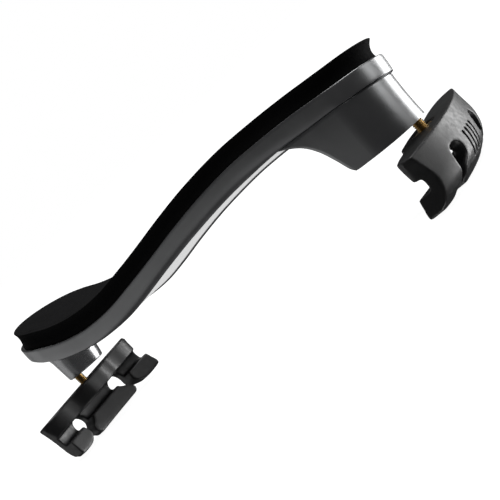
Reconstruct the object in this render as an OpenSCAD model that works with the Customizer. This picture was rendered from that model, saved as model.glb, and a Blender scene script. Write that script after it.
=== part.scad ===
// Violin shoulder rest.
// A curved channel-section rail carries a foam shoulder pad on top. A round boss
// under the wide end and a deep riser under the narrow end hold brass inserts.
// Each foot is a rubber-covered fork on a brass M4 stem, which screws into an
// insert, so turning the foot sets the height.
//
// The part stands on its feet. +X runs from the wide end to the riser end and
// +Z is up, towards the pad. The origin is on the standing plane, under the
// middle of the overall box.

/* [Stems and feet] */
// X of the left stem where it enters its foot
stem_left_x = -99; // [-99.2:0.2:-98]
// Y of the left stem
stem_left_y = -1; // [-1:0.5:1]
// X of the right stem where it enters its foot
stem_right_x = 100.5; // [100:0.5:100.5]
// Y of the right stem
stem_right_y = 1; // [-2:0.5:1]
// Lean of the left stem from the vertical, lower end towards +X
tilt_left = 6; // [5:0.5:7]
// Lean of the right stem from the vertical, lower end towards +X
tilt_right = 3; // [2:0.5:4]
// How far the left foot is turned on its stem
turn_left = -9; // [-12:1:-6]
// How far the right foot is turned on its stem
turn_right = 6; // [4:1:9]
// Stem radius (M4 thread, outside)
stem_r = 2.0; // [1.9:0.05:2.0]
// Stem length above the foot
stem_len = 17; // [16:0.5:17]
// Radial running clearance of the stem in every hole
run_clear = 0.05; // [0.03:0.01:0.08]
// Overall length of a foot
foot_len = 60; // [60:1:60]
// Height of the foot's base above the gripping channel
foot_base_h = 7.5; // [7.5:0.5:8]
// Height of the channel that takes the instrument's edge
channel_h = 4.6; // [4.6:0.1:5]
// Height of a foot at its two hooks
hook_h = 19.5; // [19.2:0.1:19.8]
// Height of a foot at its tongue
tongue_h = 20; // [19.8:0.1:20.5]
// Depth of the gripping lips, in from the outer face
lip_depth = 9.8; // [9.5:0.1:10.2]
// Wall thickness behind the channel
wall_t = 4.4; // [4.2:0.1:4.8]

/* [Rail] */
// Lean of the rail across its width, viewer's edge up
rail_roll = 4.2; // [3.5:0.1:5]
// Radius of the wide end in plan
wide_r = 20; // [19.5:0.5:20.5]
// Radius of the riser end in plan
narrow_r = 15; // [15:0.5:15.5]
// Thickness of the rail's top deck
deck_t = 2.5; // [2:0.1:3]
// Thickness of the rail's side walls
skirt_t = 2.5; // [2.2:0.1:2.8]
// Thickness of the underside plate
plate_t = 1.5; // [1.2:0.1:1.8]

/* [Pad] */
// Thickness of the adhesive layers
glue_t = 0.4; // [0.3:0.05:0.5]
// How far the pad's edge stays inside the rail's edge
pad_inset = 0.2; // [0.2:0.1:0.8]

/* [Riser and boss] */
// Level of the riser's flat bottom above the feet
riser_z = 2.8; // [2.6:0.1:3.2]
// Level of the boss's flat bottom above the left foot
boss_z = 4.2; // [4:0.1:5]
// Radius of the boss at its bottom
boss_r = 8.8; // [8.8:0.1:9.4]
// Outer radius of a threaded insert
insert_r = 2.75; // [2.7:0.05:2.8]
// Length of a threaded insert
insert_len = 8; // [7:0.5:8]
// Distance from the left stem to the spare hole in the boss
boss_pitch = 8; // [8:0.5:8.5]
// Distance from the right stem to the spare hole in the riser
riser_pitch = 12; // [11.5:0.5:13]

/* [Hidden] */

$fn = 64;
thread_r = stem_r + run_clear;

// ---- curves ---------------------------------------------------------------
// Catmull-Rom curve through control points, n steps in each span
function cr_at(a, b, c, d, t) =
    0.5*(2*b + (c - a)*t + (2*a - 5*b + 4*c - d)*t*t + (3*b - a - 3*c + d)*t*t*t);
function cr(p, n) = concat(
    [for (i = [0:len(p)-2]) for (k = [0:n-1])
        cr_at(p[max(i-1, 0)], p[i], p[i+1], p[min(i+2, len(p)-1)], k/n)],
    [p[len(p)-1]]);
function shift(p, dx, dy) = [for (q = p) [q[0] + dx, q[1] + dy]];
function rev(p) = [for (i = [len(p)-1:-1:0]) p[i]];
function arc(cx, cy, r, a0, a1, n) =
    [for (k = [0:n]) let (a = a0 + (a1 - a0)*k/n) [cx + r*cos(a), cy + r*sin(a)]];

// ---- foot outline -----------------------------------------------------------
// A foot in its own frame: +X outward, Y along it, its base's top face at z = 0,
// the stem on the Z axis and the tips pointing down.
foot_half = foot_len/2;
foot_out = 10.5;
foot_bow = 6.3;
function out_x(y) = foot_out - foot_bow*pow(y/foot_half, 2);
ys = [for (k = [-20:20]) foot_half*k/20];
outer_line = [for (y = ys) [out_x(y), y]];
inner_half = cr([[-8.8, 0], [-8.7, 4.5], [-7.1, 8.3], [-4.8, 12], [-4.2, 16], [-4.3, 20],
                 [-3.6, 24.4], [-2.2, 27.3], [0.2, 29.2], [3.2, 30]], 3);
inner_line = concat(rev([for (p = inner_half) [p[0], -p[1]]]), inner_half);

// ---- where the feet stand ---------------------------------------------------
// A foot stands on its tongue: the left one on the outer edge, at a corner, and
// the right one on the lip. Half the difference in depth is taken up at each stem.
tongue_y = 12.4;
hook_y = 29.1;
function spin(p, a) = [p[0]*cos(a) - p[1]*sin(a), p[0]*sin(a) + p[1]*cos(a)];
function reach(a) = max([for (y = ys) out_x(y)*cos(a) + abs(y)*sin(abs(a))]);
low_left = reach(turn_left)*sin(tilt_left) + tongue_h*cos(tilt_left);
low_right = -((out_x(tongue_y) - lip_depth)*cos(turn_right) - tongue_y*sin(turn_right))
            *sin(tilt_right) + tongue_h*cos(tilt_right);
lift = (low_left - low_right)/(cos(tilt_left) + cos(tilt_right));
stand_z = low_left - lift*cos(tilt_left);
// Middle of the overall box
mid_x = (stem_right_x + reach(turn_right)*cos(tilt_right) + (tongue_h + lift)*sin(tilt_right)
         + stem_left_x - reach(turn_left)*cos(tilt_left) - lift*sin(tilt_left))/2;
mid_y = (stem_right_y + max([for (p = outer_line) spin(p, turn_right)[1]])
         + stem_left_y + spin([lip_depth - out_x(hook_y), -hook_y], turn_left)[1])/2;

// Rail seen from the side: X, Z of its top and bottom edges
top_line = cr([[-114, 30.3], [-98, 26], [-88, 23.2], [-77, 20], [-64, 17.8],
               [-52, 17.3], [-40, 18], [-27, 19.8], [-12, 22.1], [8, 25.5],
               [26, 28], [45, 29.6], [63, 29.7], [78, 29.2], [88, 28.5],
               [96, 28], [104, 27.9], [112, 27.8]], 4);
low_line = cr([[-114, 24.8], [-98, 20.4], [-90, 17.3], [-81, 14.2], [-71, 12],
               [-61, 10.6], [-50, 10.2], [-38, 10.7], [-25, 12.6], [-7, 15.9],
               [12, 19], [34, 21.8], [53, 23.1], [66, 23.4], [79, 22.9],
               [90, 22.5], [97, 22.1], [104, 21.9], [112, 21.8]], 4);
pad_line = cr([[-114, 37.9], [-98, 33.7], [-88, 31.3], [-77, 28.4], [-64, 26],
               [-52, 25], [-40, 25.2], [-27, 26.7], [-12, 29.5], [8, 33],
               [26, 35.2], [45, 36.4], [63, 36.6], [78, 36], [88, 35],
               [96, 34.4], [104, 34.2], [112, 34.1]], 4);

// Plan of the rail, drawn in by a distance i
wide_c = [-89.2, 2];
narrow_c = [91, -3];
function plan(i) = concat(
    arc(wide_c[0], wide_c[1], wide_r - i, 90, 270, 24),
    shift(cr([[-80, wide_c[1]-wide_r], [-60, -17.6], [-20, -17], [30, -17],
              [70, -17.6], [84, narrow_c[1]-narrow_r]], 3), 0, i),
    arc(narrow_c[0], narrow_c[1], narrow_r - i, -90, 90, 20),
    shift(cr([[84, narrow_c[1]+narrow_r], [60, 12.7], [20, 14.2], [-20, 16],
              [-55, 19], [-80, wide_c[1]+wide_r]], 3), 0, -i));

// ---- frames ---------------------------------------------------------------
module place() { translate([-mid_x, -mid_y, stand_z]) children(); }
module rolled() { rotate([-rail_roll, 0, 0]) children(); }
// dx moves a stem's line towards its spare hole
module left_line(dx = 0) {
    translate([stem_left_x + dx, stem_left_y, 0]) rotate([0, -tilt_left, 0]) children();
}
module right_line(dx = 0) {
    translate([stem_right_x + dx, stem_right_y, 0]) rotate([0, -tilt_right, 0]) children();
}
module left() { left_line() translate([0, 0, lift]) children(); }
module right() { right_line() translate([0, 0, -lift]) children(); }

// A band between two side curves, extruded across the rail
module side_band(low, high) {
    translate([0, 40, 0]) rotate([90, 0, 0])
        linear_extrude(80) polygon(concat(low, rev(high)));
}
module plan_prism(i, z0 = -10, h = 70) {
    translate([0, 0, z0]) linear_extrude(h) polygon(plan(i));
}

// ---- rail -----------------------------------------------------------------
screw_boss = [[-94.5, 8.8, 22.5], [-94.5, -7, 22.5]];
screw_riser = [[80, 5, 27.2], [80, -11, 27.2]];
module screw_holes(list, r) {
    for (s = list) translate([s[0], s[1], 0]) {
        translate([0, 0, s[2]]) cylinder(r = 2.9, h = 10);
        translate([0, 0, s[2] - 14]) cylinder(r = r, h = 14.5);
    }
}
module frame_rail() {
    color([0.52, 0.53, 0.55]) place() rolled() difference() {
        intersection() {
            side_band(low_line, top_line);
            plan_prism(0);
        }
        difference() {
            intersection() {
                side_band(shift(low_line, 0, -3), shift(top_line, 0, -deck_t));
                plan_prism(skirt_t);
            }
            // two cross ribs that back the underside plate
            for (x = [-32, 28]) translate([x - 6, -30, -20]) intersection() {
                cube([12, 60, 80]);
                translate([6 - x, 30, 20]) side_band(
                    shift(low_line, 0, 0.6 + plate_t + glue_t), shift(top_line, 0, 1));
            }
        }
        screw_holes(screw_boss, 1.7);
        screw_holes(screw_riser, 1.7);
    }
}
module underside_plate() {
    color([0.86, 0.87, 0.88]) place() rolled() intersection() {
        side_band(shift(low_line, 0, 0.6), shift(low_line, 0, 0.6 + plate_t));
        plan_prism(skirt_t + 0.1);
        translate([-63, -40, -10]) cube([124, 80, 60]);
    }
}
module plate_adhesive() {
    color([0.9, 0.9, 0.85]) place() rolled() for (x = [-32, 28]) intersection() {
        side_band(shift(low_line, 0, 0.6 + plate_t), shift(low_line, 0, 0.6 + plate_t + glue_t));
        plan_prism(skirt_t + 2);
        translate([x - 5, -40, -10]) cube([10, 80, 60]);
    }
}

// ---- pad ------------------------------------------------------------------
module pad_adhesive() {
    color([0.85, 0.82, 0.7]) place() rolled() intersection() {
        side_band(top_line, shift(top_line, 0, glue_t));
        plan_prism(pad_inset + 1.3);
    }
}
module shoulder_pad() {
    color([0.05, 0.05, 0.055]) place() rolled() intersection() {
        side_band(shift(top_line, 0, glue_t), pad_line);
        plan_prism(pad_inset);
    }
}

// ---- riser ----------------------------------------------------------------
riser_arch = cr([[61.5, 23.66], [67, 22], [72.6, 19], [76.6, 14.6], [79.3, 9.3],
                 [81, 4.9], [82.6, riser_z]], 3);
module riser() {
    color([0.45, 0.46, 0.48]) place() difference() {
        rolled() union() {
            // tower below the rail
            intersection() {
                difference() {
                    side_band([[61.5, -5], [114, -5]], [[61.5, 23.66], [114, 40]]);
                    side_band(low_line, shift(low_line, 0, 40));
                }
                translate([0, 40, 0]) rotate([90, 0, 0]) linear_extrude(80)
                    polygon(concat(riser_arch, [[114, riser_z], [114, 40], [61.5, 40]]));
                plan_prism(1.1);
            }
            // plug inside the channel
            intersection() {
                side_band(shift(low_line, 0, -0.2), shift(top_line, 0, -deck_t));
                plan_prism(skirt_t);
                translate([61.5, -40, -10]) cube([60, 80, 60]);
            }
        }
        rolled() screw_holes(screw_riser, 1.25);
        for (dx = [0, -riser_pitch]) right_line(dx) {
            translate([0, 0, -8]) cylinder(r = insert_r, h = 8 + 3.8 + insert_len);
            cylinder(r = 2.4, h = 20);
        }
    }
}
module machine_screw(l) {
    // countersunk head with a cross slot, tip down, seat at z = 0
    difference() {
        union() {
            translate([0, 0, -l]) cylinder(r = 1.5, h = l + 0.1);
            rotate_extrude() polygon([[0, 0], [1.5, 0], [2.7, 1.2], [2.7, 1.6], [0, 1.6]]);
        }
        for (a = [0, 90]) rotate(a) translate([-1.4, -0.25, 0.8]) cube([2.8, 0.5, 2]);
    }
}
module riser_screws() {
    color([0.6, 0.6, 0.62]) place() rolled()
        for (s = screw_riser) translate(s) machine_screw(12);
}
module insert(z) {
    translate([0, 0, z]) difference() {
        cylinder(r = insert_r, h = insert_len);
        translate([0, 0, -1]) cylinder(r = thread_r, h = insert_len + 2);
    }
}
module riser_insert() {
    color([0.75, 0.6, 0.3]) place() right_line() insert(3.8);
}
module riser_insert_spare() {
    color([0.75, 0.6, 0.3]) place() right_line(-riser_pitch) insert(3.8);
}

// ---- boss -----------------------------------------------------------------
boss_c = [-94, 0.8];
module end_boss() {
    color([0.62, 0.63, 0.65]) place() difference() {
        rolled() {
            // flange that closes the channel under the wide end
            intersection() {
                side_band(shift(low_line, 0, 0.4), shift(low_line, 0, 2.5));
                plan_prism(skirt_t);
                translate([-120, -40, -10]) cube([56.8, 80, 70]);
            }
            // core up to the deck
            intersection() {
                side_band(shift(low_line, 0, 0.4), shift(top_line, 0, -deck_t));
                translate([boss_c[0], boss_c[1], 0]) cylinder(r = 11.2, h = 60);
            }
            // tapered post with a flared root
            intersection() {
                side_band([[-120, -5], [-60, -5]], [[-120, 60], [-60, 60]]);
                difference() {
                    translate([boss_c[0], boss_c[1], 0]) rotate_extrude() polygon(
                        [[0, boss_z], [boss_r - 0.5, boss_z], [boss_r, boss_z + 0.6],
                         [boss_r + 0.9, 9], [boss_r + 1.9, 13], [boss_r + 3, 16],
                         [boss_r + 3, 26], [0, 26]]);
                    side_band(shift(low_line, 0, 1), shift(low_line, 0, 60));
                }
                plan_prism(skirt_t);
            }
        }
        rolled() screw_holes(screw_boss, 1.25);
        for (dx = [0, boss_pitch]) left_line(dx) {
            translate([0, 0, -8]) cylinder(r = insert_r, h = 8 + 5.2 + insert_len);
            cylinder(r = 2.4, h = 20);
        }
    }
}
module boss_screws() {
    color([0.6, 0.6, 0.62]) place() rolled()
        for (s = screw_boss) translate(s) machine_screw(11);
}
module boss_insert() {
    color([0.75, 0.6, 0.3]) place() left_line() insert(5.2);
}
module boss_insert_spare() {
    color([0.75, 0.6, 0.3]) place() left_line(boss_pitch) insert(5.2);
}

// ---- feet -----------------------------------------------------------------
module base_plan() { polygon(concat(outer_line, rev(inner_line))); }
module wall_plan(a, b) {
    polygon(concat([for (y = ys) [out_x(y) - a, y]],
                   rev([for (y = ys) [out_x(y) - b, y]])));
}
// Half of the foot's face: Y, Z, from the base's end round the hook and the
// keyhole to the tongue's middle
lip_z = -foot_base_h - channel_h;
face_half = concat(
    cr([[30, 0], [29.8, -1.6], [28.8, -6], [28.3, -10], [28.6, -14.6], [hook_y, -17.8],
        [28.4, -hook_h + 0.3], [26, -hook_h], [21.5, -hook_h], [19.2, -18.8], [17.5, -17.6],
        [16.5, -16], [16.5, -14.6], [17, -12.6], [17.1, -11], [16.6, -9.2],
        [15.4, -7.9], [13.6, -foot_base_h], [11.8, -7.9], [10.3, -9], [9.6, -10.8],
        [9.8, -12.6], [11, -14], [13, -15.2], [14, -16.6], [14.2, -18.4],
        [13.7, 0.7 - tongue_h], [tongue_y, -tongue_h], [8, -tongue_h]], 2),
    [[0, -tongue_h]]);
face = concat(face_half, rev([for (p = face_half) [-p[0], p[1]]]));
module face_prism() {
    translate([-20, 0, 0]) rotate([90, 0, 90]) linear_extrude(40) polygon(face);
}
module core_solid(g) {
    // rigid core: a base plate and three blades, drawn out by g
    translate([0, 0, -6 - g]) linear_extrude(3.5 + 2*g)
        intersection() {
            translate([2.2, 0]) base_plan();
            translate([-2, 0]) base_plan();
            square([30, 53 + 2*g], center = true);
        }
    for (y = [-22.3, 0, 22.3]) intersection() {
        translate([0, 0, -17.2]) linear_extrude(11.7) wall_plan(1.3 - g, 2.7 + g);
        translate([-20, y - (y == 0 ? 7.6 : 3.6) - g, -30])
            cube([40, (y == 0 ? 15.2 : 7.2) + 2*g, 40]);
    }
}
module foot_cover() {
    difference() {
        intersection() {
            union() {
                translate([0, 0, -foot_base_h]) linear_extrude(foot_base_h) base_plan();
                translate([0, 0, -tongue_h]) linear_extrude(tongue_h - 1)
                    wall_plan(0, wall_t);
                translate([0, 0, -tongue_h]) linear_extrude(tongue_h + lip_z)
                    wall_plan(0, lip_depth);
            }
            face_prism();
        }
        core_solid(0);
        translate([0, 0, -3]) cylinder(r = 4.6, h = 4);
        translate([0, 0, -6]) cylinder(r = 3.6, h = 4);
    }
}
module foot_core() {
    difference() {
        core_solid(0);
        translate([0, 0, -7]) cylinder(r = thread_r, h = 6);
        translate([0, 0, -7]) cylinder(r = 3.55, h = 7 - 3.65);
    }
}
module stem() {
    rotate_extrude() polygon([[0, -5.9], [3.3, -5.9], [3.5, -5.7], [3.5, -3.7],
        [stem_r, -3.7], [stem_r, stem_len - 0.5], [stem_r - 0.5, stem_len], [0, stem_len]]);
}
module stem_nut() {
    translate([0, 0, -2.5]) difference() {
        rotate(15) cylinder(r = 4.04, h = 2.1, $fn = 6);
        translate([0, 0, -1]) cylinder(r = thread_r, h = 5);
    }
}
module outward_left() { rotate(180 + turn_left) children(); }
module outward_right() { rotate(turn_right) children(); }

module left_stem() { color([0.72, 0.56, 0.28]) place() left() stem(); }
module left_stem_nut() { color([0.72, 0.56, 0.28]) place() left() stem_nut(); }
module left_foot_core() { color([0.2, 0.2, 0.2]) place() left() outward_left() foot_core(); }
module left_foot_cover() { color([0.08, 0.08, 0.085]) place() left() outward_left() foot_cover(); }
module right_stem() { color([0.72, 0.56, 0.28]) place() right() stem(); }
module right_stem_nut() { color([0.72, 0.56, 0.28]) place() right() stem_nut(); }
module right_foot_core() { color([0.2, 0.2, 0.2]) place() right() outward_right() foot_core(); }
module right_foot_cover() { color([0.08, 0.08, 0.085]) place() right() outward_right() foot_cover(); }

frame_rail();
underside_plate();
plate_adhesive();
pad_adhesive();
shoulder_pad();
riser();
riser_screws();
riser_insert();
riser_insert_spare();
end_boss();
boss_screws();
boss_insert();
boss_insert_spare();
left_stem();
left_stem_nut();
left_foot_core();
left_foot_cover();
right_stem();
right_stem_nut();
right_foot_core();
right_foot_cover();
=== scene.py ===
import bpy
import bmesh
import math
import numpy as np
from mathutils import Matrix, Vector


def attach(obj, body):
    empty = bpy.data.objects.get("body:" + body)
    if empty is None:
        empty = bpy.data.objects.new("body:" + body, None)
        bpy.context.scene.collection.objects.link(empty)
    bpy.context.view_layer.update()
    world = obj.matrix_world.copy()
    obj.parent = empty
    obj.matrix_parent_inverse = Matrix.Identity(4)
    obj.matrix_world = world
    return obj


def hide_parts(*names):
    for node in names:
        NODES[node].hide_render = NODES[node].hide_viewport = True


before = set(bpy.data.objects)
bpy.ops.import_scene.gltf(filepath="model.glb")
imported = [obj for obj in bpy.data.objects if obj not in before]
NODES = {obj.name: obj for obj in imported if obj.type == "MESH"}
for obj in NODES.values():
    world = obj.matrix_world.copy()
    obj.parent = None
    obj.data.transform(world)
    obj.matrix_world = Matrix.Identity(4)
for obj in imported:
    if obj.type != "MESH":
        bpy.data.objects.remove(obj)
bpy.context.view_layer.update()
MM = 0.001

# ---------------------------------------------------------------- design values
# the same design values as the CAD source, in millimetres and degrees
MID_X, MID_Y, STAND_Z, LIFT = 1.07483, 0.357579, 20.5644, 0.505037
ROLL = 4.2
STEM = {-1: (-99.0, -1.0, 6.0, 180.0 - 9.0, LIFT), 1: (100.5, 1.0, 3.0, 6.0, -LIFT)}
WIDE_C, WIDE_R = (-89.2, 2.0), 20.0
NARROW_C, NARROW_R = (91.0, -3.0), 15.0
RISER_Z, BOSS_Z = 2.8, 4.2


def cr(points, n=16):
    """A dense Catmull-Rom curve through the points."""
    p = np.array(points, float)
    out = []
    for i in range(len(p) - 1):
        a, b, c, d = p[max(i - 1, 0)], p[i], p[i + 1], p[min(i + 2, len(p) - 1)]
        for k in range(n):
            t = k / n
            out.append(0.5 * (2 * b + (c - a) * t + (2 * a - 5 * b + 4 * c - d) * t * t + (3 * b - a - 3 * c + d) * t ** 3))
    out.append(p[-1])
    return np.array(out)


def curve(points):
    c = cr(points)
    return lambda x: np.interp(x, c[:, 0], c[:, 1])


top_z = curve([(-114, 30.3), (-98, 26.0), (-88, 23.2), (-77, 20), (-64, 17.8), (-52, 17.3), (-40, 18), (-27, 19.8), (-12, 22.1), (8, 25.5),
               (26, 28), (45, 29.6), (63, 29.7), (78, 29.2), (88, 28.5), (96, 28), (104, 27.9), (112, 27.8)])
low_z = curve([(-114, 24.8), (-98, 20.4), (-90, 17.3), (-81, 14.2), (-71, 12), (-61, 10.6), (-50, 10.2), (-38, 10.7), (-25, 12.6), (-7, 15.9),
               (12, 19), (34, 21.8), (53, 23.1), (66, 23.4), (79, 22.9), (90, 22.5), (97, 22.1), (104, 21.9), (112, 21.8)])
near_y = curve([(-110, -18), (-80, -18), (-60, -17.6), (-20, -17), (30, -17), (70, -17.6), (84, -18), (110, -18)])
far_y = curve([(-110, 22), (-80, 22), (-55, 19), (-20, 16), (20, 14.2), (60, 12.7), (84, 12), (110, 12)])
tau = curve([(-120, 0), (-30, 0), (-8, 0.0), (10, 0.6), (30, 2.2), (45, 4.0), (63, 6.2), (80, 6.9), (95, 7.0), (120, 7.0)])


def slope(f, x, e=0.5):
    return (f(x + e) - f(x - e)) / (2 * e)


def twist(P, w=1.0):
    """The rail's riser end leans: its near edge stays, its far edge drops."""
    X, Y, Z = P[:, 0], P[:, 1], P[:, 2]
    a = -np.radians(tau(X)) * w
    dy, dz = Y + 17.5, Z - low_z(X)
    return np.stack([X, -17.5 + dy * np.cos(a) - dz * np.sin(a), low_z(X) + dy * np.sin(a) + dz * np.cos(a)], 1)


def place(P, rolled=True):
    """Design millimetres to the row frame in metres."""
    P = np.asarray(P, float).reshape(-1, 3)
    X, Y, Z = P[:, 0], P[:, 1], P[:, 2]
    if rolled:
        a = math.radians(-ROLL)
        Y, Z = Y * math.cos(a) - Z * math.sin(a), Y * math.sin(a) + Z * math.cos(a)
    return np.stack([X - MID_X, Y - MID_Y, Z + STAND_Z], 1) * MM


def unplace(P):
    """Row frame metres back to the rolled design frame in millimetres."""
    P = np.asarray(P, float).reshape(-1, 3) / MM
    X, Y, Z = P[:, 0] + MID_X, P[:, 1] + MID_Y, P[:, 2] - STAND_Z
    a = math.radians(ROLL)
    return np.stack([X, Y * math.cos(a) - Z * math.sin(a), Y * math.sin(a) + Z * math.cos(a)], 1)


def stem_matrix(side, dx=0.0, spun=False):
    """Matrix of a stem's own frame (or its foot's), in metres."""
    x, y, tilt, spin, lift = STEM[side]
    t = math.radians(tilt)
    M = Matrix(((math.cos(t), 0, -math.sin(t), 0), (0, 1, 0, 0), (math.sin(t), 0, math.cos(t), 0), (0, 0, 0, 1)))
    o = place([[x + dx, y, 0]], rolled=False)[0]
    M = Matrix.Translation(o) @ M
    if spun:
        M = M @ Matrix.Translation((0, 0, lift * MM)) @ Matrix.Rotation(math.radians(spin), 4, "Z")
    return M


# ---------------------------------------------------------------- mesh helpers
def link(mesh, name):
    o = bpy.data.objects.new(name, mesh)
    bpy.context.scene.collection.objects.link(o)
    return o


def build(name, verts, faces, angle=38.0, merge=1e-7):
    me = bpy.data.meshes.new(name)
    me.from_pydata([tuple(v) for v in verts], [], [tuple(int(i) for i in f) for f in faces])
    clean(me, angle, merge)
    return link(me, name)


def clean(me, angle=38.0, merge=1e-7):
    bm = bmesh.new()
    bm.from_mesh(me)
    if merge:
        bmesh.ops.remove_doubles(bm, verts=bm.verts, dist=merge)
    bmesh.ops.dissolve_degenerate(bm, edges=bm.edges, dist=1e-8)
    bmesh.ops.recalc_face_normals(bm, faces=bm.faces)
    shade(bm, angle)
    bm.to_mesh(me)
    bm.free()
    me.update()


def shade(bm, angle):
    lim = math.radians(angle)
    for f in bm.faces:
        f.smooth = True
    for e in bm.edges:
        e.smooth = not (len(e.link_faces) != 2 or e.calc_face_angle(0) > lim)


def loft_faces(n_rings, n, closed=True):
    F = []
    for r in range(n_rings - 1):
        for i in range(n if closed else n - 1):
            j = (i + 1) % n
            F.append((r * n + i, r * n + j, (r + 1) * n + j, (r + 1) * n + i))
    return F


def apply_modifier(o):
    dg = bpy.context.evaluated_depsgraph_get()
    me = bpy.data.meshes.new_from_object(o.evaluated_get(dg), depsgraph=dg)
    o.modifiers.clear()
    old = o.data
    o.data = me
    bpy.data.meshes.remove(old)
    return o


def boolean(o, cutter, op="DIFFERENCE", keep=False):
    m = o.modifiers.new("b", "BOOLEAN")
    m.operation, m.solver, m.object = op, "EXACT", cutter
    bpy.context.view_layer.update()
    apply_modifier(o)
    if not keep:
        bpy.data.objects.remove(cutter)
    return o


def bevel(o, width_mm, segments=3, angle=35):
    m = o.modifiers.new("v", "BEVEL")
    m.width, m.segments, m.limit_method, m.angle_limit = width_mm * MM, segments, "ANGLE", math.radians(angle)
    m.harden_normals = False
    bpy.context.view_layer.update()
    apply_modifier(o)
    clean(o.data, 40, 0)
    return o


def lathe(name, profile, n=64, M=None):
    """A closed solid of revolution about Z from (r, z) pairs in mm."""
    V = []
    for r, z in profile:
        for k in range(n):
            a = 2 * math.pi * k / n
            V.append((r * math.cos(a) * MM, r * math.sin(a) * MM, z * MM))
    F = loft_faces(len(profile), n)
    F.append(tuple(range(n))[::-1])
    F.append(tuple((len(profile) - 1) * n + k for k in range(n)))
    o = build(name, V, F, merge=0)
    if M is not None:
        o.data.transform(M)
    return o


# ---------------------------------------------------------------- materials
def material(name, base, rough, metal=0.0, spec=0.5, tone=0.06, tone_scale=60.0, grain=2500.0, grain_bump=0.1, grain_mm=0.05,
             rough_var=0.06, stretch=None, sheen=0.0, coat=0.0, cells=None, wear=None):
    m = bpy.data.materials.new(name)
    m.use_nodes = True
    nt = m.node_tree
    n, l = nt.nodes, nt.links
    b = n["Principled BSDF"]
    b.inputs["Metallic"].default_value = metal
    b.inputs["Specular IOR Level"].default_value = spec
    if sheen:
        b.inputs["Sheen Weight"].default_value = sheen
        b.inputs["Sheen Roughness"].default_value = 0.5
    if coat:
        b.inputs["Coat Weight"].default_value = coat
        b.inputs["Coat Roughness"].default_value = 0.25
    tc = n.new("ShaderNodeTexCoord")
    src = tc.outputs["Object"]
    if stretch:
        mp = n.new("ShaderNodeMapping")
        mp.inputs["Scale"].default_value = stretch
        l.new(src, mp.inputs["Vector"])
        src_g = mp.outputs["Vector"]
    else:
        src_g = src
    big = n.new("ShaderNodeTexNoise")
    big.inputs["Scale"].default_value = tone_scale
    big.inputs["Detail"].default_value = 4
    l.new(src, big.inputs["Vector"])
    ramp = n.new("ShaderNodeMapRange")
    ramp.inputs["From Min"].default_value = 0.3
    ramp.inputs["From Max"].default_value = 0.7
    ramp.inputs["To Min"].default_value = 1 - tone
    ramp.inputs["To Max"].default_value = 1 + tone
    l.new(big.outputs["Fac"], ramp.inputs["Value"])
    hsv = n.new("ShaderNodeHueSaturation")
    hsv.inputs["Color"].default_value = (*base, 1)
    l.new(ramp.outputs["Result"], hsv.inputs["Value"])
    colour = hsv.outputs["Color"]
    fine = n.new("ShaderNodeTexNoise")
    fine.inputs["Scale"].default_value = grain
    fine.inputs["Detail"].default_value = 5
    fine.inputs["Roughness"].default_value = 0.6
    l.new(src_g, fine.inputs["Vector"])
    height = fine.outputs["Fac"]
    if cells:
        vo = n.new("ShaderNodeTexVoronoi")
        vo.inputs["Scale"].default_value = cells
        l.new(src, vo.inputs["Vector"])
        mx = n.new("ShaderNodeMath")
        mx.operation = "MULTIPLY_ADD"
        l.new(vo.outputs["Distance"], mx.inputs[0])
        mx.inputs[1].default_value = 0.9
        l.new(fine.outputs["Fac"], mx.inputs[2])
        height = mx.outputs[0]
    if wear:
        # small rubbed flecks
        fl = n.new("ShaderNodeTexNoise")
        fl.inputs["Scale"].default_value = wear[0]
        fl.inputs["Detail"].default_value = 8
        l.new(src, fl.inputs["Vector"])
        fr = n.new("ShaderNodeMapRange")
        fr.inputs["From Min"].default_value = 0.64
        fr.inputs["From Max"].default_value = 0.74
        l.new(fl.outputs["Fac"], fr.inputs["Value"])
        mixc = n.new("ShaderNodeMix")
        mixc.data_type = "RGBA"
        sc = n.new("ShaderNodeMath")
        sc.operation = "MULTIPLY"
        sc.inputs[1].default_value = wear[1]
        l.new(fr.outputs["Result"], sc.inputs[0])
        l.new(sc.outputs[0], mixc.inputs["Factor"])
        l.new(colour, mixc.inputs["A"])
        mixc.inputs["B"].default_value = (*wear[2], 1)
        colour = mixc.outputs["Result"]
    l.new(colour, b.inputs["Base Color"])
    rr = n.new("ShaderNodeMapRange")
    rr.inputs["From Min"].default_value = 0.3
    rr.inputs["From Max"].default_value = 0.7
    rr.inputs["To Min"].default_value = max(rough - rough_var, 0.02)
    rr.inputs["To Max"].default_value = min(rough + rough_var, 1)
    rn = n.new("ShaderNodeTexNoise")
    rn.inputs["Scale"].default_value = tone_scale * 7
    rn.inputs["Detail"].default_value = 3
    l.new(src_g, rn.inputs["Vector"])
    l.new(rn.outputs["Fac"], rr.inputs["Value"])
    l.new(rr.outputs["Result"], b.inputs["Roughness"])
    bump = n.new("ShaderNodeBump")
    bump.inputs["Strength"].default_value = grain_bump
    bump.inputs["Distance"].default_value = grain_mm * MM
    l.new(height, bump.inputs["Height"])
    l.new(bump.outputs["Normal"], b.inputs["Normal"])
    return m


M_RAIL = material("rail_metal", (0.44, 0.445, 0.45), 0.34, metal=1.0, tone=0.05, tone_scale=35, grain=5200, grain_bump=0.12, grain_mm=0.03,
                  rough_var=0.03)
M_RISER = material("riser_metal", (0.42, 0.425, 0.43), 0.33, metal=1.0, tone=0.05, tone_scale=40, grain=5200, grain_bump=0.12, grain_mm=0.03,
                   rough_var=0.03)
M_BOSS = material("boss_metal", (0.56, 0.565, 0.575), 0.27, metal=1.0, tone=0.04, tone_scale=50, grain=4200, grain_bump=0.0, grain_mm=0.03,
                  rough_var=0.02)
M_PLATE_GLOW = material("plate_metal", (0.93, 0.935, 0.94), 0.5, metal=0.12, spec=0.3, tone=0.02, tone_scale=30, grain=1500, grain_bump=0.15,
                   grain_mm=0.03, stretch=(0.12, 1.6, 1.6))
# painted light: the plate glows with white emission at 0.42 strength, standing in for bright light falling on it
# from below; it is no lamp
M_PLATE_GLOW.node_tree.nodes["Principled BSDF"].inputs["Emission Color"].default_value = (1, 1, 1, 1)
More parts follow.
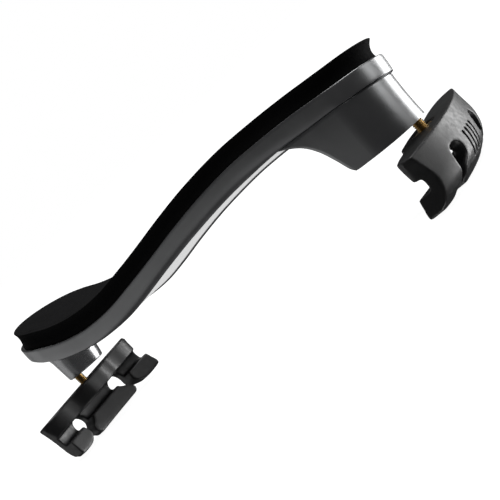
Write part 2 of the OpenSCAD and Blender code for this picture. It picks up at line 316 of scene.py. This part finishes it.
M_PLATE_GLOW.node_tree.nodes["Principled BSDF"].inputs["Emission Strength"].default_value = 0.42
M_FOAM = material("pad_foam", (0.0095, 0.0095, 0.01), 0.92, spec=0.12, tone=0.12, tone_scale=120, grain=3200, grain_bump=0.55, grain_mm=0.12,
                  cells=1900)
M_RUBBER = material("foot_rubber", (0.012, 0.012, 0.0125), 0.42, spec=0.85, tone=0.12, tone_scale=90, grain=2300, grain_bump=0.35, grain_mm=0.05,
                    rough_var=0.08, wear=(300, 0.35, (0.03, 0.03, 0.031)))
M_CORE = material("core_plastic", (0.1, 0.1, 0.1), 0.5, tone=0.06, grain=1800, grain_bump=0.2)
M_BRASS = material("stem_brass", (0.72, 0.53, 0.26), 0.26, metal=1.0, tone=0.08, tone_scale=200, grain=6000, grain_bump=0.3, grain_mm=0.02,
                   stretch=(1, 1, 3))
M_INSERT = material("insert_brass", (0.66, 0.49, 0.25), 0.32, metal=1.0, tone=0.08, tone_scale=200, grain=5000, grain_bump=0.3, grain_mm=0.02)
M_STEEL = material("screw_steel", (0.56, 0.56, 0.57), 0.3, metal=1.0, tone=0.05, tone_scale=200, grain=5000, grain_bump=0.3, grain_mm=0.02)
M_TAPE = material("adhesive", (0.7, 0.67, 0.55), 0.7, tone=0.06, tone_scale=300, grain=2500, grain_bump=0.3)


def paint(o, m):
    if len(o.data.materials) == 0:
        o.data.materials.append(m)
    for i in range(len(o.data.materials)):
        o.data.materials[i] = m
    if hasattr(o, "material_slots"):
        for s in o.material_slots:
            s.material = m
    return o


# ---------------------------------------------------------------- rail outline
N_ARC, N_SIDE = 34, 190


def outline():
    S, O = [], []
    for a in np.radians(np.linspace(90, 270, 2 * N_ARC + 1))[:-1]:
        S.append(WIDE_C)
        O.append((WIDE_C[0] + WIDE_R * math.cos(a), WIDE_C[1] + WIDE_R * math.sin(a)))
    xs = np.linspace(WIDE_C[0], NARROW_C[0], N_SIDE + 1)
    for x in xs[:-1]:
        S.append((x, (near_y(x) + far_y(x)) / 2))
        O.append((x, near_y(x)))
    for a in np.radians(np.linspace(-90, 90, 2 * N_ARC + 1))[:-1]:
        S.append(NARROW_C)
        O.append((NARROW_C[0] + NARROW_R * math.cos(a), NARROW_C[1] + NARROW_R * math.sin(a)))
    for x in xs[::-1][:-1]:
        S.append((x, (near_y(x) + far_y(x)) / 2))
        O.append((x, far_y(x)))
    S, O = np.array(S), np.array(O)
    return S, O, np.linalg.norm(O - S, axis=1)


S_, O_, HW = outline()
N_U = len(S_)


def ring(inset=None, frac=None):
    """Plan points of one ring: inset mm in from the edge, or at a fraction from the spine."""
    f = (1 - np.asarray(inset) / HW) if frac is None else np.full(N_U, frac)
    return S_ + (O_ - S_) * f[:, None]


# ---------------------------------------------------------------- rail
def make_rail():
    rings = []

    def add(xy, z):
        rings.append(np.column_stack([xy, z]))

    for f in (0.0, 0.35, 0.65):
        xy = ring(frac=f)
        add(xy, top_z(xy[:, 0]))
    end = np.clip((O_[:, 0] - 70) / 25, 0, 1)
    e2 = end * end * (3 - 2 * end)
    for i, dz in ((1.9, 0.0), (1.05, 0.0), (0.86, 0.04), (0.78, 0.18), (0.62, 0.3), (0.4, 0.34), (0.2, 0.3), (0.06, 0.17), (0.0, 0.0)):
        ins = i * (1 + 0.75 * e2) if i > 0.5 else i
        xy = ring(inset=ins)
        add(xy, top_z(xy[:, 0]) + dz)
    X0 = O_[:, 0]
    w = np.interp(X0, (-110, -70, -35, 45, 74, 110), (0.12, 0.16, 0.7, 0.75, 0.14, 0.08))
    for i, g in ((0.0, 0.16), (0.0, 0.34), (0.03, 0.5), (0.14, 0.63), (0.4, 0.75), (0.85, 0.86), (1.35, 0.935), (1.8, 0.975)):
        xy = ring(inset=i * w)
        t, b = top_z(xy[:, 0]), low_z(xy[:, 0])
        add(xy, t - g * (t - b))
    for i, j, dz in ((2.05, 0.32, 0.0), (2.3, 0.9, 0.0), (2.55, 2.3, 0.0), (2.72, 2.66, 0.2), (2.8, 2.8, 0.7)):
        xy = ring(inset=j + (i - j) * w)
        add(xy, low_z(xy[:, 0]) + dz)
    for g in (0.35, 0.7):
        xy = ring(inset=2.8)
        t, b = top_z(xy[:, 0]) - 2.5, low_z(xy[:, 0]) + 0.7
        add(xy, b + (t - b) * g)
    for i, dz in ((2.85, 0.35), (3.2, 0.05)):
        xy = ring(inset=i)
        add(xy, top_z(xy[:, 0]) - 2.5 - dz)
    for f in (0.6, 0.3, 0.0):
        xy = ring(frac=f)
        add(xy, top_z(xy[:, 0]) - 2.5)
    P = place(twist(np.vstack(rings)))
    return build("rail_shell", P, loft_faces(len(rings), N_U), 50, merge=2e-6)


def make_pad():
    rings = []
    X0 = O_[:, 0]
    lean = 1 - np.clip((X0 + 60) / 90, 0, 1)
    lean = lean * lean * (3 - 2 * lean)
    end = np.clip((X0 - 70) / 25, 0, 1)
    end = end * end * (3 - 2 * end)
    tip = np.clip((-84 - X0) / 16, 0, 1)
    base_in = 1.15 + 0.75 * end + 0.35 * tip
    H = np.interp(X0, (-110, -60, -40, -20, 20, 45, 80, 110), (7.7, 7.8, 7.3, 7.1, 7.0, 6.8, 6.6, 6.7))

    def add(xy, h):
        x = xy[:, 0]
        s = slope(top_z, x)
        nrm = np.sqrt(1 + s * s)
        ox = -s / nrm * h * lean
        oz = h * (lean / nrm + (1 - lean))
        rings.append(np.column_stack([x + ox, xy[:, 1], top_z(x) + oz]))

    for f in (0.0, 0.4, 0.75):
        add(ring(frac=f), 0.12)
    for i, h in ((0.9, 0.0), (0.25, 0.0), (0.02, 0.02), (0.0, 0.07), (0.1, 0.16), (0.24, 0.28), (0.32, 0.4), (0.34, 0.52), (0.28, 0.64), (0.12, 0.76),
                 (-0.12, 0.86), (-0.34, 0.93), (-0.44, 0.965), (-0.42, 0.985), (-0.24, 0.997), (0.1, 1.0), (0.6, 1.002), (1.5, 1.006)):
        k = max((h - 0.3) / 0.7, 0) ** 1.5 if i < 0.34 or h > 0.5 else 0.0
        k = k if h < 0.99 else k * max(1 - max(i, 0) / 1.5, 0)
        add(ring(inset=base_in + i - (1.15 * end + 0.15) * k), 0.12 + (H - 0.12) * h)
    for f in (0.86, 0.78, 0.68, 0.56, 0.44, 0.32, 0.2, 0.1, 0.0):
        add(ring(frac=f), H + 0.05 + 0.35 * (1 - (f / 0.9) ** 2) * (1 - end))
    P = place(twist(np.vstack(rings)))
    return build("shoulder_pad_foam", P, loft_faces(len(rings), N_U), 60, merge=2e-6)


# ---------------------------------------------------------------- slabs that follow the rail's underside
def side_limits(x, inset):
    lo, hi = near_y(x) + inset, far_y(x) - inset
    left = x < WIDE_C[0]
    r = WIDE_R - inset
    h = np.sqrt(np.maximum(r * r - (x - WIDE_C[0]) ** 2, 0.01))
    lo, hi = np.where(left, WIDE_C[1] - h, lo), np.where(left, WIDE_C[1] + h, hi)
    right = x > NARROW_C[0]
    r = NARROW_R - inset
    h = np.sqrt(np.maximum(r * r - (x - NARROW_C[0]) ** 2, 0.01))
    return np.where(right, NARROW_C[1] - h, lo), np.where(right, NARROW_C[1] + h, hi)


def slab(name, x0, x1, inset, z_low, z_high, nx=90, ny=18, corner=2.0, angle=38):
    xs = np.linspace(x0, x1, nx)
    d = np.minimum(xs - x0, x1 - xs)
    pull = np.where(d < corner, corner - np.sqrt(np.maximum(corner ** 2 - (corner - d) ** 2, 0)), 0) if corner else 0 * d
    lo, hi = side_limits(xs, inset)
    lo, hi = lo + pull, hi - pull
    t = np.linspace(0, 1, ny)
    low, high = [], []
    for i, x in enumerate(xs):
        y = lo[i] + (hi[i] - lo[i]) * t
        low.append(np.column_stack([np.full(ny, x), y, np.full(ny, z_low(x))]))
        high.append(np.column_stack([np.full(ny, x), y, np.full(ny, z_high(x))]))
    A, B = np.array(low), np.array(high)
    V = np.vstack([A.reshape(-1, 3), B.reshape(-1, 3)])
    n = nx * ny
    F = []
    for i in range(nx - 1):
        for j in range(ny - 1):
            a = i * ny + j
            F.append((a, a + 1, a + ny + 1, a + ny))
            F.append((n + a, n + a + ny, n + a + ny + 1, n + a + 1))
        a = i * ny
        F.append((a, a + ny, n + a + ny, n + a))
        a = i * ny + ny - 1
        F.append((a, n + a, n + a + ny, a + ny))
    for j in range(ny - 1):
        F.append((j, n + j, n + j + 1, j + 1))
        a = (nx - 1) * ny + j
        F.append((a, a + 1, n + a + 1, n + a))
    return build(name, place(twist(V)), F, angle, merge=0)


def stem_hole(side, dx, r, z0, z1, name="cut"):
    return lathe(name, [(r, z0), (r, z1)], 48, stem_matrix(side, dx))


# ---------------------------------------------------------------- boss
def make_boss():
    flange = slab("end_boss_part", -104.9, -63.3, 2.9, lambda x: low_z(x) + 0.45, lambda x: low_z(x) + 2.5, nx=70, ny=24, corner=0)
    cx, cy, R = -94.0, 0.8, 8.8
    n, rows = 96, []
    th = np.linspace(0, 2 * math.pi, n, endpoint=False)
    levels = [0.0, 0.02, 0.06, 0.15, 0.3, 0.45, 0.58, 0.68, 0.76, 0.82, 0.87, 0.91, 0.94, 0.965, 0.985, 1.0]
    for k, t in enumerate(levels):
        flare = 3.4 * np.clip((t - 0.5) / 0.5, 0, 1) ** 2.6
        rr = R + 1.9 * t + flare
        x, y = cx + rr * np.cos(th), cy + rr * np.sin(th)
        zs = low_z(x) + 0.75
        z = BOSS_Z + (zs - BOSS_Z) * t
        if k == 0:
            rr = R - 0.55
        elif k == 1:
            rr = R - 0.14
            z = np.full(n, BOSS_Z + 0.16)
        elif k == 2:
            rr = R + 0.02
            z = np.full(n, BOSS_Z + 0.55)
        x, y = cx + rr * np.cos(th), cy + rr * np.sin(th)
        rows.append(np.column_stack([x, y, z]))
    # carry on into the channel, then close on top
    x, y = rows[-1][:, 0], rows[-1][:, 1]
    rows.append(np.column_stack([cx + (x - cx) * 0.93, cy + (y - cy) * 0.93, low_z(x) + 2.2]))
    V = place(np.vstack(rows))
    F = loft_faces(len(rows), n)
    F.append(tuple(range(n))[::-1])
    F.append(tuple((len(rows) - 1) * n + k for k in range(n)))
    post = build("post", V, F, merge=0)
    boolean(flange, post, "UNION")
    for dx in (0.0, 8.0):
        boolean(flange, stem_hole(-1, dx, 2.77, -8, 13.25))
        boolean(flange, stem_hole(-1, dx, 2.4, 12.0, 19.0))
    flange.name = "end_boss_post"
    clean(flange.data, 32, 1e-7)
    return flange


# ---------------------------------------------------------------- riser
ARCH = cr([(61.5, 23.66), (67, 22), (72.6, 19), (76.6, 14.6), (79.3, 9.3), (81, 4.9), (82.6, RISER_Z)], 7)


def make_riser():
    inset = 1.1
    nside, narc, ncut, nc = 46, 22, 16, 5
    levels = list(range(len(ARCH)))
    rows = []

    def level(xa, g, extra, zoff=0.0):
        """One closed outline: near side, round end, far side, then across."""
        ins = inset + extra
        rc = 1.5
        xa = xa + extra
        pts = []
        ylo, yhi = side_limits(np.array([xa]), ins)
        ylo, yhi = ylo[0], yhi[0]
        for k in range(nc):
            a = math.radians(180 + 90 * k / (nc - 1))
            pts.append((xa + rc + rc * math.cos(a), ylo + rc + rc * math.sin(a)))
        xs = np.linspace(xa + rc, NARROW_C[0], nside + 1)[1:]
        yl, yh = side_limits(xs, ins)
        pts += list(zip(xs, yl))
        r = NARROW_R - ins
        for a in np.radians(np.linspace(-90, 90, narc + 1))[1:-1]:
            pts.append((NARROW_C[0] + r * math.cos(a), NARROW_C[1] + r * math.sin(a)))
        pts += list(zip(xs[::-1], yh[::-1]))
        for k in range(nc):
            a = math.radians(90 + 90 * k / (nc - 1))
            pts.append((xa + rc + rc * math.cos(a), yhi - rc + rc * math.sin(a)))
        for t in np.linspace(0, 1, ncut + 2)[1:-1]:
            pts.append((xa, yhi - rc + (ylo - yhi + 2 * rc) * t))
        P = np.array(pts)
        zt = low_z(np.maximum(P[:, 0], 61.5)) + 0.35
        z = RISER_Z + (zt - RISER_Z) * g + zoff
        Q = np.column_stack([P, z])
        return twist(Q, 0.0) if g <= 0 else twist(Q, g)

    top = ARCH[0, 1]
    seq = []
    # bottom face edge, rounded, then up along the arch
    bx = ARCH[-1, 0]
    seq.append(level(bx, 0.0, 0.75, 0.0))
    seq.append(level(bx, 0.0, 0.34, 0.06))
    seq.append(level(bx, 0.0, 0.1, 0.26))
    for i in range(len(ARCH) - 2, -1, -1):
        g = (ARCH[i, 1] - RISER_Z) / (top - RISER_Z)
        seq.append(level(ARCH[i, 0], min(g, 1.0), 0.0 if g < 0.93 else 0.9 * ((g - 0.93) / 0.07) ** 2))
    n = len(seq[0])
    V = place(np.vstack(seq))
    F = loft_faces(len(seq), n)
    F.append(tuple(range(n))[::-1])
    F.append(tuple((len(seq) - 1) * n + k for k in range(n)))
    o = build("riser_tower", V, F, 34, merge=0)
    for dx in (0.0, -10.0):
        boolean(o, stem_hole(1, dx, 2.77, -8, 11.85))
        boolean(o, stem_hole(1, dx, 2.4, 10.5, 18.3))
    clean(o.data, 34, 1e-7)
    return o


# ---------------------------------------------------------------- stems and nuts
def make_stem(side, name):
    pitch, depth, r0 = 0.7, 0.36, 2.0
    z0, z1, nth = -3.7, 17.0, 48
    dz = pitch / 10
    nz = int(round((z1 - z0) / dz))
    V = []
    for i in range(nz + 1):
        z = z0 + (z1 - z0) * i / nz
        for k in range(nth):
            a = 2 * math.pi * k / nth
            ph = ((z - pitch * a / (2 * math.pi)) / pitch) % 1.0
            v = abs(ph - 0.5) * 2  # 1 in the root, 0 at the crest
            r = r0 - depth * min(max((v - 0.12) / 0.76, 0), 1)
            over = max(0.0, z - (z1 - 0.6))
            r = min(r, r0 - over * 0.95)
            r = r if z > z0 + 0.25 else 1.62
            V.append((r * math.cos(a) * MM, r * math.sin(a) * MM, z * MM))
    F = loft_faces(nz + 1, nth)
    F.append(tuple(nz * nth + k for k in range(nth)))
    # head below
    base = len(V)
    prof = [(3.42, -3.72), (3.5, -3.82), (3.5, -5.66), (3.3, -5.88), (2.6, -5.9)]
    for r, z in prof:
        for k in range(nth):
            a = 2 * math.pi * k / nth
            V.append((r * math.cos(a) * MM, r * math.sin(a) * MM, z * MM))
    ring0 = [0 * nth + k for k in range(nth)]
    ring1 = [base + k for k in range(nth)]
    for k in range(nth):
        j = (k + 1) % nth
        F.append((ring1[k], ring1[j], ring0[j], ring0[k]))
    F += [tuple(base + i for i in f) for f in loft_faces(len(prof), nth)]
    F.append(tuple(base + (len(prof) - 1) * nth + k for k in range(nth)))
    o = build(name, V, F, 60, merge=0)
    x, y, tilt, spin, lift = STEM[side]
    o.data.transform(stem_matrix(side) @ Matrix.Translation((0, 0, lift * MM)))
    return o


def make_nut(side, name):
    n, V = 120, []
    z0, z1 = -2.5, -0.4
    rows = [(2.06, z0, 0), (2.35, z0, 0), (9.0, z0, 1), (9.0, z0 + 0.35, 2), (9.0, z1 - 0.35, 2), (9.0, z1, 1), (2.35, z1, 0), (2.06, z1 - 0.25, 0)]
    rows = [(2.06, z0 + 0.25, 0)] + rows[1:]
    for r, z, kind in rows:
        for k in range(n):
            a = 2 * math.pi * k / n
            hexr = 3.5 / math.cos(((a - math.radians(15)) % (math.pi / 3)) - math.pi / 6)
            rr = r if kind == 0 else (min(hexr, 3.52) if kind == 1 else min(hexr, 3.98))
            V.append((rr * math.cos(a) * MM, rr * math.sin(a) * MM, z * MM))
    F = loft_faces(len(rows), n)
    last = (len(rows) - 1) * n
    for k in range(n):
        j = (k + 1) % n
        F.append((last + k, last + j, j, k))
    o = build(name, V, F, 25, merge=0)
    x, y, tilt, spin, lift = STEM[side]
    o.data.transform(stem_matrix(side) @ Matrix.Translation((0, 0, lift * MM)))
    return o


# ---------------------------------------------------------------- feet
def out_x(y):
    return 10.5 - 6.3 * (y / 30.0) ** 2


def smoothstep(x, a, b):
    t = np.clip((x - a) / (b - a), 0, 1)
    return t * t * (3 - 2 * t)


def curl(x, z, depth):
    """The wall bellies outwards, curls in towards its tips and thins to a rounded edge."""
    t = np.clip(-z / 20.0, 0, 1)
    belly = 0.3 * np.sin(math.pi * t) - 2.3 * smoothstep(t, 0.45, 1.05)
    x = x + belly * smoothstep(-z, 2.0, 8.0) * (1 - smoothstep(depth, 5.0, 11.0) * 0.4)
    x = x - 2.4 * smoothstep(t, 0.7, 1.06) * (1 - smoothstep(depth, 0.0, 5.0))
    z = z + 0.9 * smoothstep(t, 0.86, 1.0) * (1 - smoothstep(depth, 0.0, 3.5))
    return x, z


def make_core(side, name):
    """The core, bent with the rubber that covers it."""
    o = link(NODES[("left" if side < 0 else "right") + "_foot_core"].data.copy(), name)
    M = stem_matrix(side, spun=True)
    o.data.transform(M.inverted())
    o.data.materials.clear()
    bm = bmesh.new()
    bm.from_mesh(o.data)
    bmesh.ops.remove_doubles(bm, verts=bm.verts, dist=1e-7)
    for k in range(1, 20):
        bmesh.ops.bisect_plane(bm, geom=bm.verts[:] + bm.edges[:] + bm.faces[:], plane_co=(0, 0, -k * MM), plane_no=(0, 0, 1))
    bm.to_mesh(o.data)
    bm.free()
    co = np.zeros(len(o.data.vertices) * 3)
    o.data.vertices.foreach_get("co", co)
    P = co.reshape(-1, 3) / MM
    x, z = curl(P[:, 0], P[:, 2], out_x(P[:, 1]) - P[:, 0])
    o.data.vertices.foreach_set("co", (np.column_stack([x, P[:, 1], z]) * MM).ravel())
    clean(o.data, 38, 1e-7)
    o.data.transform(M)
    return o


def make_foot(side, name, voxel=0.32):
    src = NODES[("left" if side < 0 else "right") + "_foot_cover"]
    me = src.data.copy()
    o = link(me, name)
    M = stem_matrix(side, spun=True)
    o.data.transform(M.inverted())
    for m in list(o.data.materials):
        pass
    o.data.materials.clear()
    bm = bmesh.new()
    bm.from_mesh(o.data)
    bmesh.ops.remove_doubles(bm, verts=bm.verts, dist=1e-7)
    bm.to_mesh(o.data)
    bm.free()
    r = o.modifiers.new("r", "REMESH")
    r.mode, r.voxel_size = "VOXEL", voxel * MM
    bpy.context.view_layer.update()
    apply_modifier(o)
    s = o.modifiers.new("s", "SMOOTH")
    s.factor, s.iterations = 0.5, 26
    bpy.context.view_layer.update()
    apply_modifier(o)
    bm = bmesh.new()
    bm.from_mesh(o.data)
    # finer faces where the moulded grooves go
    near = [f for f in bm.faces if f.calc_center_median().x > 7.6 * MM and abs(f.calc_center_median().y) < 6.6 * MM
            and -19.4 * MM < f.calc_center_median().z < -6.6 * MM]
    edges = list({e for f in near for e in f.edges})
    bmesh.ops.subdivide_edges(bm, edges=edges, cuts=1, use_grid_fill=True)
    bmesh.ops.triangulate(bm, faces=[f for f in bm.faces if len(f.verts) > 4])
    bm.to_mesh(o.data)
    bm.free()
    co = np.zeros(len(o.data.vertices) * 3)
    o.data.vertices.foreach_get("co", co)
    P = co.reshape(-1, 3) / MM
    x, y, z = P[:, 0].copy(), P[:, 1].copy(), P[:, 2].copy()
    depth = out_x(y) - x  # 0 on the outer face
    # moulded grooves with a dimple at the head of each, on the outer face
    cut = np.zeros(len(x))
    for k in range(4):
        yk = -4.35 + 2.9 * k
        d = np.abs(y - yk)
        along = smoothstep(z, -17.0, -15.6) * (1 - smoothstep(z, -9.0, -8.4))
        cut = np.maximum(cut, 0.75 * along * (1 - smoothstep(d, 0.22, 0.62)))
        dd = np.hypot(y - yk, (z + 8.9) / 1.1)
        cut = np.maximum(cut, 0.95 * (1 - smoothstep(dd, 0.3, 0.85)))
    x = x - cut * (1 - smoothstep(depth, 0.5, 1.2))
    x, z = curl(x, z, depth)
    # the base's top is crowned a little across its width
    mid = (out_x(y) - 8.0) * 0.5
    z = z - 0.35 * np.clip(((x - mid) / 9.0) ** 2, 0, 1.4) * smoothstep(z, -3.2, -0.6)
    P = np.column_stack([x, y, z]) * MM
    o.data.vertices.foreach_set("co", P.ravel())
    o.data.update()
    bm = bmesh.new()
    bm.from_mesh(o.data)
    bmesh.ops.recalc_face_normals(bm, faces=bm.faces)
    for f in bm.faces:
        f.smooth = True
    bm.to_mesh(o.data)
    bm.free()
    o.data.transform(M)
    return o


# ---------------------------------------------------------------- inner pieces that follow the twist
def warp(node, name, down=0.0):
    src = NODES[node]
    me = src.data.copy()
    o = link(me, name)
    co = np.zeros(len(me.vertices) * 3)
    me.vertices.foreach_get("co", co)
    P = unplace(co.reshape(-1, 3))
    P = place(twist(P))
    P[:, 2] -= down * MM
    me.vertices.foreach_set("co", P.ravel())
    clean(me, 38, 1e-7)
    return o


# ---------------------------------------------------------------- assemble
def put(o, body, mat, slot, *nodes):
    paint(o, mat)
    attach(o, body)
    if nodes:
        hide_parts(*nodes)
    return o


rail = put(make_rail(), "rest", M_RAIL, "rail_metal", "frame_rail")
pad = put(make_pad(), "rest", M_FOAM, "pad_foam", "shoulder_pad")
plate = slab("underside_plate_sheet", -62.9, 60.9, 3.0, lambda x: low_z(x) + 0.6, lambda x: low_z(x) + 2.1, nx=150, ny=20, corner=2.5)
bevel(plate, 0.3, 2)
put(plate, "rest", M_PLATE_GLOW, "plate_metal", "underside_plate")
boss = put(make_boss(), "rest", M_BOSS, "boss_metal", "end_boss")
riser = put(make_riser(), "rest", M_RISER, "riser_metal", "riser")
put(warp("plate_adhesive", "plate_tape"), "rest", M_TAPE, "adhesive", "plate_adhesive")
tape = slab("pad_tape", -107.0, 103.6, 2.4, lambda x: top_z(x) + 0.01, lambda x: top_z(x) + 0.11, nx=150, ny=10, corner=0)
put(tape, "rest", M_TAPE, "adhesive", "pad_adhesive")
put(warp("riser_screws", "riser_screw_pair"), "rest", M_STEEL, "screw_steel", "riser_screws")
for s, w in ((-1, "left"), (1, "right")):
    put(make_stem(s, w + "_stem_threaded"), w + "_stem", M_BRASS, "stem_brass", w + "_stem")
    put(make_nut(s, w + "_stem_hex_nut"), w + "_foot", M_INSERT, "insert_brass", w + "_stem_nut")
    put(make_foot(s, w + "_foot_rubber"), w + "_foot", M_RUBBER, "foot_rubber", w + "_foot_cover")
    put(make_core(s, w + "_foot_core_bent"), w + "_foot", M_CORE, "core_plastic", w + "_foot_core")
    paint(NODES[w + "_foot_core"], M_CORE)
for n in ("riser_insert", "riser_insert_spare", "boss_insert", "boss_insert_spare"):
    paint(NODES[n], M_INSERT)
paint(NODES["boss_screws"], M_STEEL)
for n, m in (("frame_rail", M_RAIL), ("shoulder_pad", M_FOAM), ("underside_plate", M_PLATE_GLOW), ("end_boss", M_BOSS), ("riser", M_RISER),
             ("plate_adhesive", M_TAPE), ("pad_adhesive", M_TAPE), ("riser_screws", M_STEEL), ("left_stem", M_BRASS), ("right_stem", M_BRASS),
             ("left_stem_nut", M_INSERT), ("right_stem_nut", M_INSERT), ("left_foot_cover", M_RUBBER), ("right_foot_cover", M_RUBBER)):
    paint(NODES[n], m)

# ---------------------------------------------------------------- stage, light, camera
floor_me = bpy.data.meshes.new("floor")
floor_me.from_pydata([(-9, -9, 0), (9, -9, 0), (9, 9, 0), (-9, 9, 0)], [], [(0, 1, 2, 3)])
floor = link(floor_me, "floor")
fm = bpy.data.materials.new("floor_pale")
fm.use_nodes = True
fb = fm.node_tree.nodes["Principled BSDF"]
fb.inputs["Roughness"].default_value = 0.9
fb.inputs["Specular IOR Level"].default_value = 0.1
lp = fm.node_tree.nodes.new("ShaderNodeLightPath")
mixf = fm.node_tree.nodes.new("ShaderNodeMix")
mixf.data_type = "RGBA"
mixf.inputs["A"].default_value = (0.06, 0.06, 0.06, 1)
mixf.inputs["B"].default_value = (0.4, 0.4, 0.4, 1)
fm.node_tree.links.new(lp.outputs["Is Camera Ray"], mixf.inputs["Factor"])
fm.node_tree.links.new(mixf.outputs["Result"], fb.inputs["Base Color"])
emf = fm.node_tree.nodes.new("ShaderNodeMath")
emf.operation = "MULTIPLY"
emf.inputs[1].default_value = 0.95
fm.node_tree.links.new(lp.outputs["Is Camera Ray"], emf.inputs[0])
fm.node_tree.links.new(emf.outputs[0], fb.inputs["Emission Strength"])
fb.inputs["Emission Color"].default_value = (1, 1, 1, 1)
floor_me.materials.append(fm)
floor.visible_diffuse = floor.visible_glossy = floor.visible_shadow = False

world = bpy.data.worlds.new("studio")
bpy.context.scene.world = world
world.use_nodes = True
wn, wl = world.node_tree.nodes, world.node_tree.links
bg = wn["Background"]
wlp = wn.new("ShaderNodeLightPath")
wm = wn.new("ShaderNodeMix")
wm.data_type = "RGBA"
wm.inputs["A"].default_value = (0.045, 0.045, 0.046, 1)
wm.inputs["B"].default_value = (1.0, 1.0, 1.0, 1)
wl.new(wlp.outputs["Is Camera Ray"], wm.inputs["Factor"])
wl.new(wm.outputs["Result"], bg.inputs["Color"])
bg.inputs["Strength"].default_value = 1.0


def softbox(name, azimuth, elevation, distance, width, height, radiance, at=(0.0, 0.0, 0.035)):
    """A rectangular light aimed at a point, its brightness as seen from there."""
    a, e = math.radians(azimuth), math.radians(elevation)
    d = Vector((math.cos(a) * math.cos(e), math.sin(a) * math.cos(e), math.sin(e)))
    li = bpy.data.lights.new(name, "AREA")
    li.shape, li.size, li.size_y = "RECTANGLE", width, height
    li.energy = radiance * math.pi * width * height
    o = bpy.data.objects.new(name, li)
    bpy.context.scene.collection.objects.link(o)
    o.location = Vector(at) + d * distance
    o.rotation_euler = (-d).to_track_quat("-Z", "Y").to_euler()
    return o


sun = bpy.data.lights.new("overhead", "SUN")
sun.energy = 1.7
sun.angle = math.radians(60)
so = bpy.data.objects.new("overhead", sun)
bpy.context.scene.collection.objects.link(so)
so.rotation_euler = (math.radians(-12), math.radians(8), 0)
softbox("right_box", 64, -12, 0.8, 0.42, 0.6, 5.0, at=(0.1, 0, 0.03))
softbox("right_end", 14, 8, 0.8, 0.36, 0.4, 1.2, at=(0.1, 0, 0.035))
softbox("left_box", 206, -6, 0.8, 0.66, 0.6, 0.32, at=(-0.1, 0, 0.035))
softbox("back_left", 160, -2, 0.8, 0.5, 0.5, 0.3, at=(-0.1, 0, 0.035))
softbox("front_left", 240, -10, 0.9, 0.5, 0.5, 0.07, at=(0, 0, 0.035))
softbox("under", -68, -76, 0.8, 0.5, 0.5, 1.7, at=(0, 0, 0.035))

cam_d = bpy.data.cameras.new("camera")
cam = bpy.data.objects.new("camera", cam_d)
bpy.context.scene.collection.objects.link(cam)
al, el, ro = math.radians(41.286), math.radians(7.248), math.radians(-43.343)
back = Vector((math.sin(al) * math.cos(el), -math.cos(al) * math.cos(el), math.sin(el)))
right = Vector((math.cos(al), math.sin(al), 0))
up = back.cross(right)
cx_ = math.cos(ro) * right + math.sin(ro) * up
cy_ = -math.sin(ro) * right + math.cos(ro) * up
R = Matrix((cx_, cy_, back)).transposed().to_4x4()
pos = back * 441.78
cam.matrix_world = Matrix.Translation(((pos.x - MID_X) * MM, (pos.y - MID_Y) * MM, (pos.z + STAND_Z) * MM)) @ R
cam_d.sensor_width = 36
cam_d.lens = 1196.71 * 36 / 500
cam_d.shift_x, cam_d.shift_y = 22.79 / 500, 23.71 / 500
cam_d.clip_start, cam_d.clip_end = 0.01, 100
bpy.context.scene.camera = cam
bpy.context.scene.view_settings.view_transform = "Standard"
